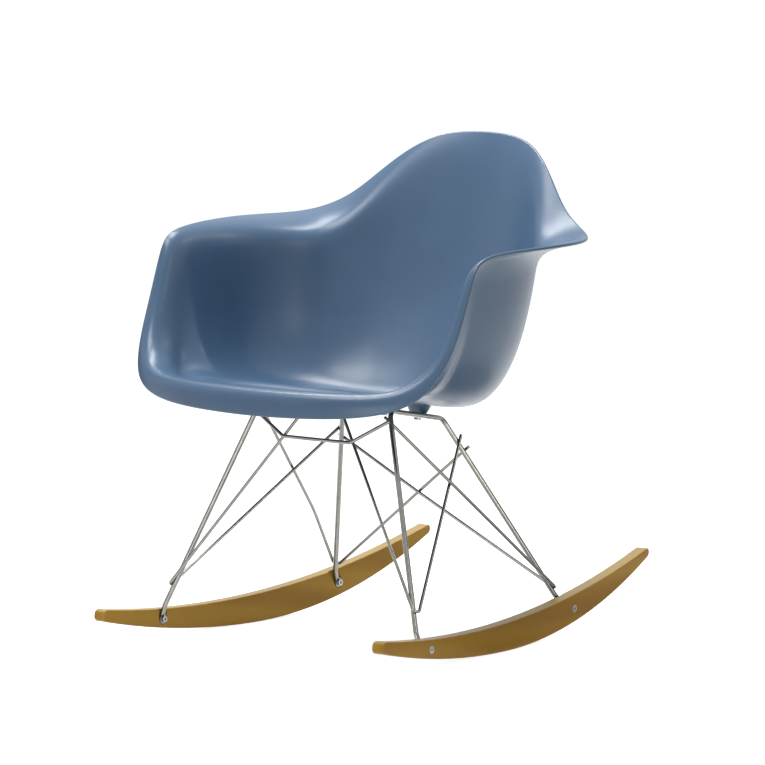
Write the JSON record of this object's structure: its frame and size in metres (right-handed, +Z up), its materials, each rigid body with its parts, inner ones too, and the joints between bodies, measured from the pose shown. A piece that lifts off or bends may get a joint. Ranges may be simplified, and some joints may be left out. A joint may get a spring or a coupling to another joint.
{
  "type": "rocking armchair",
  "caption": "Rocking armchair: moulded plastic bucket shell with flared arms on a braced chromed wire cradle, standing on crescent wooden rockers.",
  "frame": {"origin": "on the floor, under the middle of the whole chair's outline box", "axes": "+Z up, -Y towards the front edge of the seat, +X towards the sitter's left arm; the chair is mirror-symmetric about the plane X = 0 apart from the crossing of the two rear braces"},
  "size_m": [0.627, 0.7365, 0.7481],
  "materials": {
    "shell": "satin through-coloured steel blue",
    "frame_wire": "bright plated",
    "brace_wire": "bright plated",
    "rocker_wood": "clear satin lacquer on honey-coloured maple",
    "fastener": "zinc plated",
    "insert": "turned"
  },
  "bodies": {
    "root": {"seat_shell": "shell", "side_frame_left": "frame_wire", "side_frame_right": "frame_wire", "front_cross_wire": "brace_wire", "front_w_brace": "brace_wire", "rear_v_brace_left": "brace_wire", "rear_v_brace_right": "brace_wire", "mount_tab_front_left": "frame_wire", "mount_tab_front_right": "frame_wire", "mount_tab_rear_left": "frame_wire", "mount_tab_rear_right": "frame_wire", "threaded_insert_front_left": "insert", "threaded_insert_front_right": "insert", "threaded_insert_rear_left": "insert", "threaded_insert_rear_right": "insert", "screw_washer_front_left": "fastener", "screw_washer_front_right": "fastener", "screw_washer_rear_left": "fastener", "screw_washer_rear_right": "fastener", "shell_screw_front_left": "fastener", "shell_screw_front_right": "fastener", "shell_screw_rear_left": "fastener", "shell_screw_rear_right": "fastener", "rocker_left": "rocker_wood", "rocker_right": "rocker_wood", "rocker_bolt_front_left": "fastener", "rocker_bolt_front_right": "fastener", "rocker_bolt_rear_left": "fastener", "rocker_bolt_rear_right": "fastener", "sleeve_nut_front_left": "fastener", "sleeve_nut_front_right": "fastener", "sleeve_nut_rear_left": "fastener", "sleeve_nut_rear_right": "fastener"}
  },
  "joints": []
}
